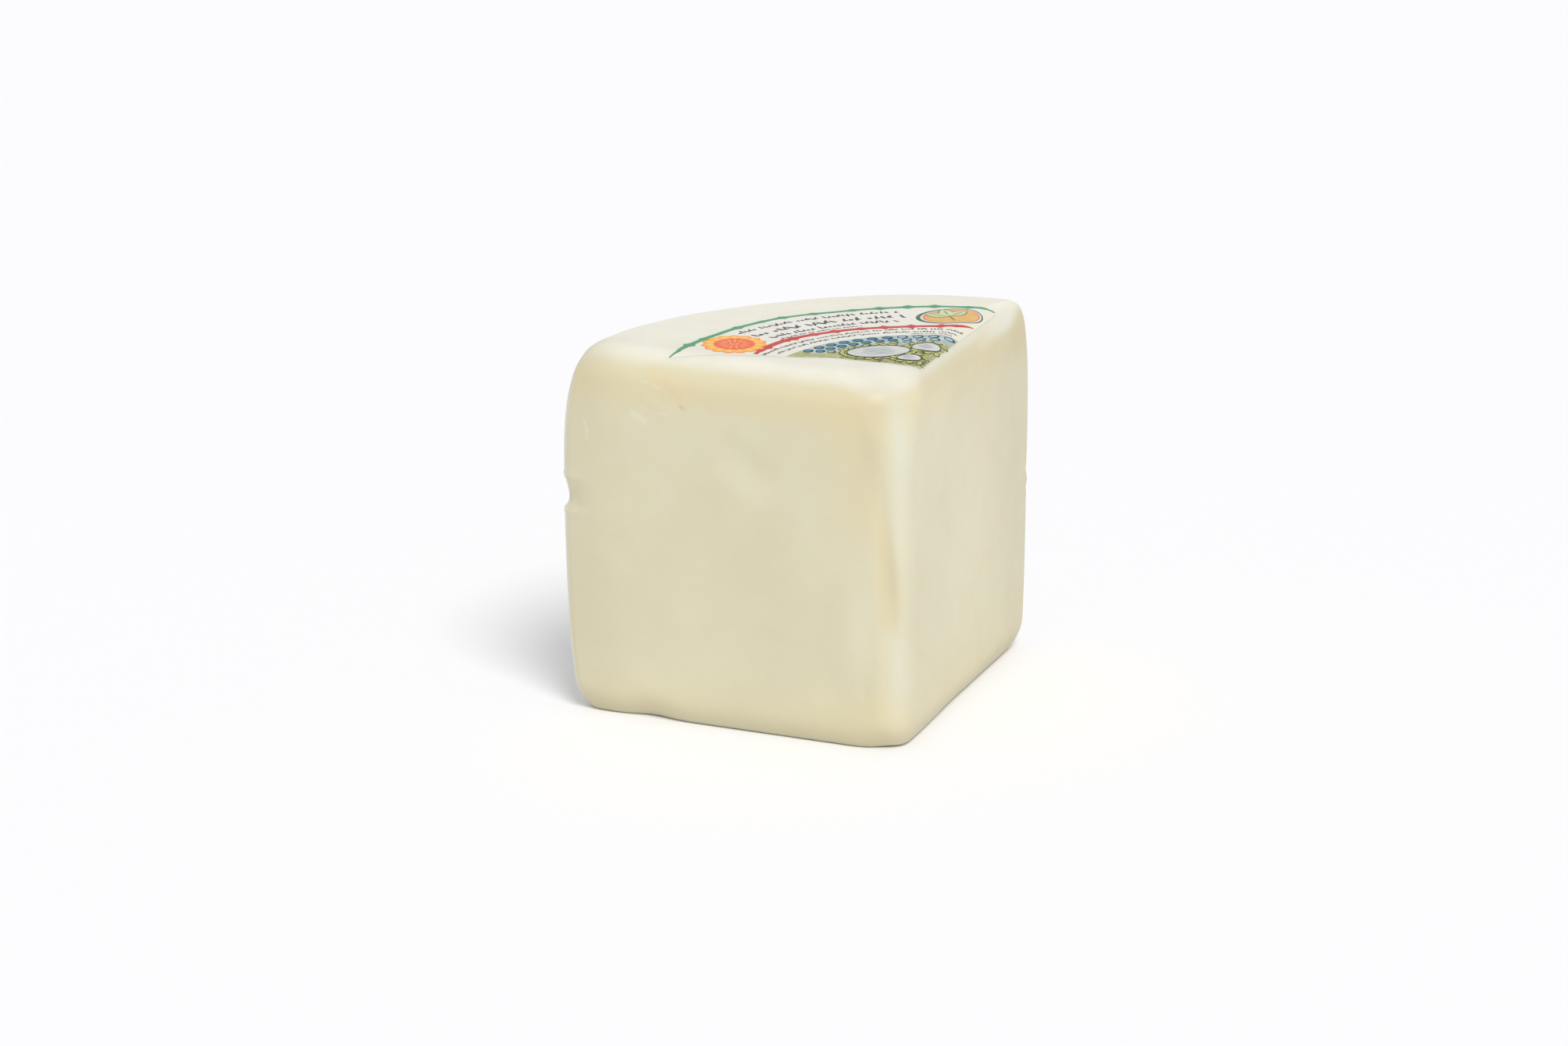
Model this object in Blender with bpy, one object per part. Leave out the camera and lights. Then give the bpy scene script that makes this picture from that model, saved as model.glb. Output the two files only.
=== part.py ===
"""A quarter of a small fresh sheep's-milk cheese wheel, standing on its flat underside, with a printed paper label
lying on its top. Metres, +Z up. The origin is on the floor, under the middle of the quarter. The wheel's axis is
upright through the front right corner: one cut face looks along -Y, the other along +X, and the rind's side, the
heel, bulges out behind them."""

import math

import bmesh
import bpy
from mathutils import Matrix, Vector

# The wheel
WHEEL_RADIUS = 0.0902  # at its widest
AXIS_HEIGHT = 0.0928  # of the top, on the wheel's axis
DISH = 0.0100  # how much higher the top is at the wheel's edge, as a share of its height
WIDEST_AT = 0.60  # height of the heel's belly, as a share of AXIS_HEIGHT
TOP_TAPER, TOP_TAPER_POWER = 0.0066, 3.5  # how far the heel draws in towards the top
FOOT_TAPER, FOOT_TAPER_POWER = 0.0030, 3.4

# The edges: each is a quarter of an ellipse, given by its height and how far it reaches in
TOP_EDGE_HEIGHT = 0.0075  # along the cut faces
TOP_EDGE_CUT = 0.0085
HEEL_EDGE_HEIGHT = 0.0027  # along the heel
TOP_EDGE_HEEL = 0.0022
FOOT_EDGE_HEIGHT = 0.0080
FOOT_EDGE_CUT = 0.0031
FOOT_EDGE_HEEL = 0.0032
SIDE_CORNER = 0.0032  # radius where a cut face meets the heel
FRONT_CORNER = 0.0079  # radius where the two cut faces meet
FRONT_CORNER_TOP = 0.0150  # what it grows to at the top
FRONT_CORNER_GROWTH = 0.0200  # height over which it grows
TIGHTER = 0.85  # share of its reach that the top's edge has lost where the right cut face ends
TIGHTER_FROM, TIGHTER_TO = 0.0720, 0.0850  # stretch over which it loses it, measured from the wheel's axis
TIGHTER_DEPTH = 0.0140  # how far in from the edge its outline is moved with it

# A nick in the corner of the heel and the left cut face
NICK_HEIGHT = 0.0556
NICK_TALL, NICK_DEEP = 0.0090, 0.0015
NICK_WIDE = 0.0070
NICK_SCOOP = 0.0025  # half the depth of the ellipsoid that scoops it out
NICK_TURN = math.radians(203)  # the way the scoop faces, in plan

# The label, in the wheel's own plan: the axis at 0, 0 and the quarter towards -X and +Y
LABEL_CENTRE = (0.0026, 0.0075)  # of the round print
LABEL_RADIUS = 0.0646
LABEL_CORNER = (-0.0034, 0.0190)  # front end of its right edge, which runs along the right cut face
LABEL_BENDS = ((-0.0240, 0.0156), (-0.0075, 0.0164))  # where its front edge turns, from the left
LABEL_TIP = (-0.0620, 0.0038)  # where the front edge ends on the round outline
LABEL_THICKNESS = 0.0003
LABEL_GAP = 0.0003

# Colours and finish
CHEESE_COLOUR, CHEESE_ROUGHNESS = (0.76, 0.71, 0.51), 0.42
PAPER_COLOUR, PAPER_ROUGHNESS = (0.80, 0.77, 0.76), 0.55

# Mesh fineness
CORNER_STEPS, HEEL_STEPS, FACE_STEPS = 8, 26, 8
EDGE_STEPS, SIDE_STEPS = 7, 12
TOP_RINGS = (0.014, 0.021)  # distance of the rings in the top from its outline
SCOOP_SEGMENTS, SCOOP_RINGS = 20, 12
LABEL_STEPS = 40  # along its round outline
LABEL_FOLDS = (0.0040, 0.0047, 0.0055, 0.0066)  # lines in it beside a cut face, where the cheese falls
LABEL_NET = 0.0080  # from line to line in the rest of it
LABEL_LINES = 8
SETTLE_STEPS = 8
SHARP_FROM = math.radians(40)
TINY = 0.00002


def heel_radius(z):
    """The wheel's radius at a height: a belly that draws in towards the top and, less, towards the foot."""
    belly = WIDEST_AT * AXIS_HEIGHT
    if z > belly:
        return WHEEL_RADIUS - TOP_TAPER * ((z - belly) / (AXIS_HEIGHT - belly)) ** TOP_TAPER_POWER
    return WHEEL_RADIUS - FOOT_TAPER * ((belly - z) / belly) ** FOOT_TAPER_POWER


def dish(x, y):
    """How much taller the cheese is at a place in plan than on the wheel's axis."""
    return 1 + DISH * (x * x + y * y) / WHEEL_RADIUS**2


def arc(centre, radius, start, end, steps):
    """Points along an arc, with both ends."""
    angles = [start + (end - start) * k / steps for k in range(steps + 1)]
    return [(centre[0] + radius * math.cos(a), centre[1] + radius * math.sin(a)) for a in angles]


def line(start, end, steps):
    """Points along a line, without its ends."""
    return [tuple(start[i] + (end[i] - start[i]) * k / steps for i in (0, 1)) for k in range(1, steps)]


def full_reach():
    """How far the heel's corners stand out from the wheel's axis, along either cut face."""
    return SIDE_CORNER + math.sqrt((WHEEL_RADIUS - SIDE_CORNER) ** 2 - SIDE_CORNER**2)


def smooth(share):
    """A share of 0 to 1 with a soft start and end."""
    share = min(max(share, 0), 1)
    return share * share * (3 - 2 * share)


def front_corner(z):
    """Radius of the corner where the cut faces meet, at a height."""
    share = 1 - (AXIS_HEIGHT - z) / FRONT_CORNER_GROWTH
    return FRONT_CORNER + (FRONT_CORNER_TOP - FRONT_CORNER) * smooth(share)


def ellipse_fall(share):
    """How far a quarter of an ellipse has fallen, as a share of its height, a share of its reach from its foot."""
    return 1 - math.sqrt(1 - (1 - min(share, 1)) ** 2)


def tightness(y):
    """Share of its reach that the top's edge along the right cut face has lost at a place, for it gets tighter
    towards the heel."""
    return TIGHTER * smooth((y - TIGHTER_FROM) / (TIGHTER_TO - TIGHTER_FROM))


def tighten(outline, inset):
    """An outline within the top's edge, with its points near the end of the right cut face moved back out."""
    return [(x + inset * tightness(y) * (1 - smooth((-x - inset) / TIGHTER_DEPTH)), y) for x, y in outline]


def section(inset_cut, inset_heel, z):
    """The outline of the quarter at one level: left cut face, side corner, heel, side corner, right cut face and
    front corner, with the cut faces and the heel moved in by their own insets."""
    heel = heel_radius(z)
    corner = front_corner(z)
    reach = heel - inset_heel - SIDE_CORNER
    off = inset_cut + SIDE_CORNER
    along = math.sqrt(reach**2 - off**2)
    left, right = (-along, off), (-off, along)
    front = (-inset_cut - corner, inset_cut + corner)
    turn_left = math.atan2(left[1], left[0])
    turn_right = math.atan2(right[1], right[0])
    left_corner = arc(left, SIDE_CORNER, 1.5 * math.pi, turn_left, CORNER_STEPS)
    heel_line = arc((0, 0), heel - inset_heel, turn_left, turn_right, HEEL_STEPS)
    right_corner = arc(right, SIDE_CORNER, turn_right, 0, CORNER_STEPS)
    front_line = arc(front, corner, 0, -0.5 * math.pi, CORNER_STEPS)
    return (
        left_corner[:-1]
        + heel_line[:-1]
        + right_corner
        + line(right_corner[-1], front_line[0], FACE_STEPS)
        + front_line
        + line(front_line[-1], left_corner[0], FACE_STEPS)
    )


def levels():
    """Height and insets of each section, from the underside's edge up to the innermost ring of the top."""
    quarter = [0.5 * math.pi * k / EDGE_STEPS for k in range(EDGE_STEPS + 1)]
    foot = [
        (
            FOOT_EDGE_HEIGHT * (1 - math.cos(t)),
            FOOT_EDGE_CUT * (1 - math.sin(t)),
            FOOT_EDGE_HEEL * (1 - math.sin(t)),
        )
        for t in quarter
    ]
    side_start, side_end = FOOT_EDGE_HEIGHT, AXIS_HEIGHT - TOP_EDGE_HEIGHT
    side = [(side_start + (side_end - side_start) * k / SIDE_STEPS, 0, 0) for k in range(1, SIDE_STEPS)]
    top = []
    for t in quarter:
        below = TOP_EDGE_HEIGHT * (1 - math.sin(t))
        inset_heel = TOP_EDGE_HEEL * ellipse_fall(below / HEEL_EDGE_HEIGHT)
        top.append((AXIS_HEIGHT - below, TOP_EDGE_CUT * (1 - math.cos(t)), inset_heel))
    rings = [(AXIS_HEIGHT, inset, inset) for inset in TOP_RINGS]
    return foot + side + top + rings


def inset_at(x, y, corner):
    """The inset of the outline that runs through a place in plan: the distance to the nearer cut face, or within the
    front corner the shift of its arc."""
    right, left = -x / (1 - tightness(y)), y
    apart = right - left
    if abs(apart) > corner:
        return min(right, left)
    return right - corner + 0.5 * (math.sqrt(2 * corner**2 - apart**2) - apart)


def top_height(x, y):
    """Height of the cheese's top at a place in plan, with the fall of the rounded edge along the cut faces. The
    corner's radius depends on the height in turn, so the two are found by going back and forth."""
    height = AXIS_HEIGHT
    for _ in range(SETTLE_STEPS):
        share = inset_at(x, y, front_corner(height)) / TOP_EDGE_CUT
        height = AXIS_HEIGHT - TOP_EDGE_HEIGHT * ellipse_fall(share)
    return height * dish(x, y)


def new_collection(name):
    collection = bpy.data.collections.new(name)
    bpy.context.scene.collection.children.link(collection)
    return collection


def new_object(name, mesh, collection):
    obj = bpy.data.objects.new(name, mesh)
    collection.objects.link(obj)
    return obj


def principled(name, colour, roughness):
    material = bpy.data.materials.new(name)
    material.use_nodes = True
    shader = material.node_tree.nodes["Principled BSDF"]
    shader.inputs["Base Color"].default_value = (*colour, 1)
    shader.inputs["Roughness"].default_value = roughness
    return material


def make_cheese(collection, cutters):
    """The quarter: a loft through the sections, closed by a flat underside and by the middle of the top."""
    bm = bmesh.new()
    rings = []
    for z, inset_cut, inset_heel in levels():
        outline = section(inset_cut, inset_heel, z)
        if z > AXIS_HEIGHT - TOP_EDGE_HEIGHT and inset_cut <= TOP_EDGE_CUT:
            outline = tighten(outline, inset_cut)
        rings.append([bm.verts.new((x, y, z * dish(x, y) if z > 0 else 0)) for x, y in outline])
    for lower, upper in zip(rings, rings[1:]):
        for k in range(len(lower)):
            bm.faces.new((lower[k - 1], upper[k - 1], upper[k], lower[k]))
    bm.faces.new(rings[0])
    middle = bm.faces.new(reversed(rings[-1]))
    for vert in bmesh.ops.poke(bm, faces=[middle])["verts"]:
        vert.co.z = AXIS_HEIGHT * dish(vert.co.x, vert.co.y)
    mesh = bpy.data.meshes.new("cheese")
    bm.to_mesh(mesh)
    bm.free()
    cheese = new_object("cheese", mesh, collection)
    mesh.materials.append(principled("fresh cheese", CHEESE_COLOUR, CHEESE_ROUGHNESS))

    nick = cheese.modifiers.new("nick", "BOOLEAN")
    nick.operation = "DIFFERENCE"
    nick.object = nick_scoop(cutters)
    return cheese


def nick_scoop(cutters):
    """The ellipsoid that takes the nick out of the left corner."""
    corner = Vector((-(WHEEL_RADIUS - SIDE_CORNER), SIDE_CORNER, NICK_HEIGHT))
    outward = Vector((math.cos(NICK_TURN), math.sin(NICK_TURN), 0))
    bm = bmesh.new()
    bmesh.ops.create_uvsphere(bm, u_segments=SCOOP_SEGMENTS, v_segments=SCOOP_RINGS, radius=1)
    at_the_mouth = math.sqrt(1 - (1 - NICK_DEEP / NICK_SCOOP) ** 2)
    half_tall = 0.5 * NICK_TALL / at_the_mouth
    half_wide = 0.5 * NICK_WIDE / at_the_mouth
    scale = Matrix.Diagonal((NICK_SCOOP, half_wide, half_tall, 1))
    turn = Matrix.Rotation(NICK_TURN, 4, "Z")
    centre = corner + outward * (SIDE_CORNER + NICK_SCOOP - NICK_DEEP)
    bm.transform(Matrix.Translation(centre) @ turn @ scale)
    mesh = bpy.data.meshes.new("nick scoop")
    bm.to_mesh(mesh)
    bm.free()
    scoop = new_object("nick scoop", mesh, cutters)
    scoop.hide_render = True
    scoop.display_type = "WIRE"
    return scoop


def label_outline():
    """The label in plan: round along its print, straight along the right cut face, and cut in three strokes in front."""
    cx, cy = LABEL_CENTRE
    start = math.acos((LABEL_CORNER[0] - cx) / LABEL_RADIUS)
    end = math.pi + math.asin((cy - LABEL_TIP[1]) / LABEL_RADIUS)
    return arc(LABEL_CENTRE, LABEL_RADIUS, start, end, LABEL_STEPS) + [*LABEL_BENDS, LABEL_CORNER]


def make_label(collection):
    """A sheet cut to the outline, divided along a net of lines and laid over the top."""
    curve = bpy.data.curves.new("label outline", "CURVE")
    curve.dimensions = "2D"
    curve.fill_mode = "BOTH"
    curve.extrude = 0.5 * LABEL_THICKNESS
    spline = curve.splines.new("POLY")
    outline = label_outline()
    spline.points.add(len(outline) - 1)
    for point, (x, y) in zip(spline.points, outline):
        point.co = (x, y, 0, 1)
    spline.use_cyclic_u = True
    flat = new_object("label outline", curve, collection)
    bpy.context.view_layer.update()
    mesh = bpy.data.meshes.new_from_object(flat.evaluated_get(bpy.context.evaluated_depsgraph_get()))
    bpy.data.objects.remove(flat)

    bm = bmesh.new()
    bm.from_mesh(mesh)
    bmesh.ops.remove_doubles(bm, verts=bm.verts, dist=TINY)
    bmesh.ops.dissolve_limit(bm, angle_limit=math.radians(1), verts=bm.verts, edges=bm.edges)
    for distance in LABEL_FOLDS + tuple(LABEL_NET * k for k in range(1, LABEL_LINES + 1)):
        for normal, point in (((1, 0, 0), (-distance, 0, 0)), ((0, 1, 0), (0, distance, 0))):
            everything = bm.verts[:] + bm.edges[:] + bm.faces[:]
            bmesh.ops.bisect_plane(bm, geom=everything, plane_co=point, plane_no=normal)
    for vert in bm.verts:
        vert.co.z += top_height(vert.co.x, vert.co.y) + LABEL_GAP + 0.5 * LABEL_THICKNESS
    bmesh.ops.recalc_face_normals(bm, faces=bm.faces)
    bm.to_mesh(mesh)
    bm.free()
    mesh.name = "label"
    mesh.materials.clear()
    mesh.materials.append(principled("label paper", PAPER_COLOUR, PAPER_ROUGHNESS))
    return new_object("label", mesh, collection)


def main():
    for old in list(bpy.data.objects):
        bpy.data.objects.remove(old)
    parts = new_collection("cheese quarter")
    cutters = new_collection("cutters")
    axis = bpy.data.objects.new("wheel axis", None)
    parts.objects.link(axis)
    axis.location = (0.5 * full_reach(), -0.5 * full_reach(), 0)

    cheese = make_cheese(parts, cutters)
    label = make_label(parts)
    cutter = cutters.objects["nick scoop"]
    for obj in (cheese, label, cutter):
        obj.parent = axis
    for obj in (cheese, label):
        obj.data.shade_smooth()
        obj.data.set_sharp_from_angle(angle=SHARP_FROM)


main()
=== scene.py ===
import math

import bpy
import numpy as np
from mathutils import Matrix, Vector


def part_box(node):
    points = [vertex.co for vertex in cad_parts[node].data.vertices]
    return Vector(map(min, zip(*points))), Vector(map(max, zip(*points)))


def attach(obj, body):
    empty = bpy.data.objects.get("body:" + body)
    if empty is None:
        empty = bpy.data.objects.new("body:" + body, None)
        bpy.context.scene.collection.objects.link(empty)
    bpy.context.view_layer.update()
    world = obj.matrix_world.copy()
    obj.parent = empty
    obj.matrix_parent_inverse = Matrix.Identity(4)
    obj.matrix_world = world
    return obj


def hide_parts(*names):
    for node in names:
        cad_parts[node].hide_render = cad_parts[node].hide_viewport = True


# A quarter of a small fresh sheep's-milk cheese wheel with a printed paper label on its top.
# Shapes are worked out in millimetres in the wheel's own plan: the wheel's axis at 0, 0, one cut face along
# y = 0 looking to -Y, the other along x = 0 looking to +X, and the heel, the rind's side, behind them.

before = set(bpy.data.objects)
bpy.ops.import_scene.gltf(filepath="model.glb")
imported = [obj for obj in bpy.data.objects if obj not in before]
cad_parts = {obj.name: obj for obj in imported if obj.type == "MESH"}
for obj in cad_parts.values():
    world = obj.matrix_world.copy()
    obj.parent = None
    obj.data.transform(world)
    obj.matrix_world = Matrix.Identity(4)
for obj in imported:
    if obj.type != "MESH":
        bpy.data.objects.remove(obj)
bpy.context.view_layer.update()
cheeseLow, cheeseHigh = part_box("cheese")
axisPlace = np.array([cheeseHigh[0], cheeseLow[1], 0.0])  # the wheel's axis, in metres
print("frame loaded")

camera = {
    "place": (0.32932, -0.85768, 0.35226),  # from the foot of the wheel's axis, in metres
    "azimuth": 22.769,  # 0 looks along +Y, in degrees
    "elevation": 17.702,
    "roll": -0.2198,
    "lens": 93.91,
}


def placeCamera(settings):
    # A camera that looks along -Z is rolled, tipped up from the floor and turned about the upright axis
    data = bpy.data.cameras.new("photo camera")
    data.lens = settings["lens"]
    data.sensor_width = 36
    data.clip_start = 0.01
    data.clip_end = 50
    obj = bpy.data.objects.new("photo camera", data)
    bpy.context.scene.collection.objects.link(obj)
    turn = Matrix.Rotation(math.radians(settings["azimuth"]), 4, "Z")
    tip = Matrix.Rotation(math.radians(90 - settings["elevation"]), 4, "X")
    roll = Matrix.Rotation(math.radians(settings["roll"]), 4, "Z")
    place = Vector(settings["place"]) + Vector(axisPlace)
    obj.matrix_world = Matrix.Translation(place) @ turn @ tip @ roll
    bpy.context.scene.camera = obj


placeCamera(camera)

light = {
    "worldColour": (0.985, 0.985, 1.0),
    "worldStrength": 0.60,
    # azimuth, 0 in front of the left cut face, elevation and filled angle in degrees, strength, colour
    "soft key": (44.0, 54.5, 24.0, 1.75, (1.0, 0.993, 0.985)),
}


def placeLight(settings):
    world = bpy.data.worlds.new("studio")
    world.use_nodes = True
    background = world.node_tree.nodes["Background"]
    background.inputs["Color"].default_value = (*settings["worldColour"], 1)
    background.inputs["Strength"].default_value = settings["worldStrength"]
    bpy.context.scene.world = world
    bpy.context.scene.view_settings.view_transform = "Standard"
    azimuth, elevation, softness, strength, colour = settings["soft key"]
    data = bpy.data.lights.new("soft key", "SUN")
    data.energy = strength
    data.color = colour
    data.angle = math.radians(softness)
    obj = bpy.data.objects.new("soft key", data)
    bpy.context.scene.collection.objects.link(obj)
    turn = Matrix.Rotation(math.radians(azimuth), 4, "Z")
    tip = Matrix.Rotation(math.radians(90 - elevation), 4, "X")
    obj.matrix_world = turn @ tip


placeLight(light)
print("camera and light placed")


# Meshes


def gridFaces(rows, columns, wrap=False):
    # Four-sided faces of a grid numbered row by row; wrap joins the last column to the first
    row = np.arange(rows - 1)[:, None]
    column = np.arange(columns if wrap else columns - 1)[None, :]
    after = (column + 1) % columns
    faces = np.stack(
        [
            row * columns + column,
            row * columns + after,
            (row + 1) * columns + after,
            (row + 1) * columns + column,
        ],
        axis=-1,
    )
    return faces.reshape(-1, 4)


def makeMesh(name, points, quads, triangles=None, fields=None):
    # points in millimetres from the foot of the wheel's axis, put into the scene's frame in metres
    mesh = bpy.data.meshes.new(name)
    place = points * 0.001 + axisPlace
    faces = quads.tolist() + ([] if triangles is None else triangles.tolist())
    mesh.from_pydata(place.tolist(), [], faces)
    mesh.shade_smooth()
    for fieldName, values in (fields or {}).items():
        attribute = mesh.attributes.new(fieldName, "FLOAT", "POINT")
        attribute.data.foreach_set("value", np.ascontiguousarray(values, dtype=np.float32))
    obj = bpy.data.objects.new(name, mesh)
    bpy.context.scene.collection.objects.link(obj)
    return obj


def smoothStep(low, high, value):
    t = np.clip((value - low) / (high - low), 0, 1)
    return t * t * (3 - 2 * t)


def bell(value, middle, width):
    # Exponential of minus the square of the distance from the middle in widths
    return np.exp(-(((value - middle) / width) ** 2))


def stretch(reach, value):
    # Up by a smooth step from the first of four values to the second, and down from the third to the fourth
    start, full, fade, end = reach
    return smoothStep(start, full, value) * (1 - smoothStep(fade, end, value))


def nearness(points, place, width):
    # A bell of the distance to a place, which is given in plan or in space
    return bell(np.linalg.norm(points[..., : len(place)] - np.array(place), axis=-1), 0, width)


def facing(component):
    # How far a place belongs to the side that it faces: a smooth step of that component of its normal
    return smoothStep(0.25, 0.8, component)


def unevenness(points, size, seed, waves=14):
    # Sum of sine waves in random directions, of lengths near size, scaled to stay near -1 to 1
    draw = np.random.default_rng(seed)
    direction = draw.normal(size=(waves, 3))
    direction /= np.linalg.norm(direction, axis=1, keepdims=True)
    length = size * draw.uniform(0.7, 1.6, waves)
    phase = draw.uniform(0, 2 * math.pi, waves)
    total = np.zeros(points.shape[:-1])
    for k in range(waves):
        total += np.sin(points @ direction[k] * (2 * math.pi / length[k]) + phase[k])
    return total / math.sqrt(waves)


# Nodes


def addNode(tree, kind, **settings):
    node = tree.nodes.new(kind)
    for key, value in settings.items():
        setattr(node, key, value)
    return node


def setInputs(node, **values):
    for key, value in values.items():
        node.inputs[key.replace("_", " ")].default_value = value
    return node


def mixColour(tree, factor, first, second, blend="MIX"):
    # first and second are sockets or colours
    node = addNode(tree, "ShaderNodeMix", data_type="RGBA", blend_type=blend)
    for index, value in ((6, first), (7, second)):
        if isinstance(value, tuple):
            node.inputs[index].default_value = (*value, 1)
        else:
            tree.links.new(value, node.inputs[index])
    if isinstance(factor, float):
        node.inputs[0].default_value = factor
    else:
        tree.links.new(factor, node.inputs[0])
    return node.outputs[2]


def noise(tree, coordinates, scale, detail=3.0, roughness=0.55):
    node = addNode(tree, "ShaderNodeTexNoise")
    setInputs(node, Scale=scale, Detail=detail, Roughness=roughness)
    tree.links.new(coordinates, node.inputs["Vector"])
    return node.outputs["Fac"]


def mapTo(tree, value, fromLow, fromHigh, toLow, toHigh):
    node = addNode(tree, "ShaderNodeMapRange")
    setInputs(node, From_Min=fromLow, From_Max=fromHigh, To_Min=toLow, To_Max=toHigh)
    tree.links.new(value, node.inputs["Value"])
    return node.outputs["Result"]


def bump(tree, height, strength, distance, under=None):
    node = addNode(tree, "ShaderNodeBump")
    setInputs(node, Strength=strength, Distance=distance)
    tree.links.new(height, node.inputs["Height"])
    if under is not None:
        tree.links.new(under, node.inputs["Normal"])
    return node.outputs["Normal"]


def newMaterial(name):
    material = bpy.data.materials.new(name)
    material.use_nodes = True
    tree = material.node_tree
    shader = tree.nodes["Principled BSDF"]
    place = addNode(tree, "ShaderNodeTexCoord").outputs["Object"]
    return material, tree, shader, place


# The cheese

cheese = {
    "radius": 90.2,  # of the wheel, at its widest
    "height": 92.8,  # of the top, on the wheel's axis
    "dish": 0.0100,  # how much higher the top is at the wheel's edge, as a share
    "widestAt": 0.60,
    "topTaper": (6.6, 3.5),  # how far the heel draws in towards the top, and the power
    "footTaper": (3.0, 3.4),
    "topEdge": (7.5, 8.5),  # height and reach of the rounded edge along the cut faces
    "heelEdge": (2.7, 2.2),
    "tighter": (0.85, 72.0, 85.0),  # share of its reach that the right face's top edge loses, from and to y
    "fadeDepth": 14.0,  # how far behind a cut face a change to its edges fades out
    "footEdge": (8.0, 3.1, 3.2),  # height, reach at the cut faces, reach at the heel
    "frontCorner": (7.9, 15.0, 20.0),  # radius, what it grows to at the top, and over what height
    "sideCorner": 3.2,
    "middle": (-42.0, 44.0),  # plan place that the top and the underside close on
    "around": (14, 150, 14, 84, 34, 84),  # mesh steps: corner, heel, corner, right face, front, left face
    "upwards": (12, 96, 24, 40),  # foot edge, side, top edge, middle of the top
    "swell": (0.09, 46.0),  # height and length of the broad unevenness
    "ripple": (0.03, 11.0),
    "seed": 11,
}


def heelRadius(z):
    # Radius of the wheel at a height: widest at the belly, less by a power of the distance from it
    belly = cheese["widestAt"] * cheese["height"]
    up = np.clip((z - belly) / (cheese["height"] - belly), 0, 1)
    down = np.clip((belly - z) / belly, 0, 1)
    topDraw, topPower = cheese["topTaper"]
    footDraw, footPower = cheese["footTaper"]
    return cheese["radius"] - topDraw * up**topPower - footDraw * down**footPower


def dishShare(x, y):
    return 1 + cheese["dish"] * (x * x + y * y) / cheese["radius"] ** 2


def cornerRadius(z):
    # Radius of the corner where the cut faces meet: it grows by a smooth step towards the top
    low, high, growth = cheese["frontCorner"]
    return low + (high - low) * smoothStep(0, 1, 1 - (cheese["height"] - z) / growth)


def ellipseFall(share):
    # How far a quarter of an ellipse has fallen, a share of its height, at a share of its reach from its foot
    return 1 - np.sqrt(1 - (1 - np.clip(share, 0, 1)) ** 2)


def tightness(y):
    # Share of its reach that the top edge along the right cut face has lost: a smooth step towards the heel
    most, start, end = cheese["tighter"]
    return most * smoothStep(start, end, y)


def fadeBehind(distance):
    # One at a cut face and none at the fade depth behind it
    return 1 - smoothStep(0, cheese["fadeDepth"], distance)


def ripple(points):
    high, long = cheese["ripple"]
    return high * (unevenness(points, long, cheese["seed"] + 1) - 1.4)


def quarterOutline(insetCut, insetHeel, heel, front):
    # Points round the quarter, each row a level: arcs about the three corners and the wheel's axis, and
    # lines between them, with the cut faces and the heel moved in by their own insets
    side = cheese["sideCorner"]
    reach = heel - insetHeel - side
    off = insetCut + side
    along = np.sqrt(reach**2 - off**2)
    turnLeft = np.arctan2(off, -along)
    turnRight = np.arctan2(along, -off)

    def arc(centreX, centreY, radius, start, end, steps):
        t = np.arange(steps) / steps
        angle = start + (end - start) * t
        return centreX + radius * np.cos(angle), centreY + radius * np.sin(angle)

    steps = cheese["around"]
    leftX, leftY = arc(-along, off, side, 1.5 * math.pi, turnLeft, steps[0])
    heelX, heelY = arc(0, 0, heel - insetHeel, turnLeft, turnRight, steps[1])
    rightX, rightY = arc(-off, along, side, turnRight, 0, steps[2])
    frontX, frontY = arc(-insetCut - front, insetCut + front, front, 0, -0.5 * math.pi, steps[4])
    t = np.arange(steps[3]) / steps[3]
    faceRightX = -insetCut + 0 * t
    faceRightY = along + (insetCut + front - along) * t
    t = np.arange(steps[5]) / steps[5]
    faceLeftX = -insetCut - front + (insetCut + front - along) * t
    faceLeftY = insetCut + 0 * t
    x = np.concatenate([leftX, heelX, rightX, faceRightX, frontX, faceLeftX], axis=1)
    y = np.concatenate([leftY, heelY, rightY, faceRightY, frontY, faceLeftY], axis=1)
    return x, y


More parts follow.
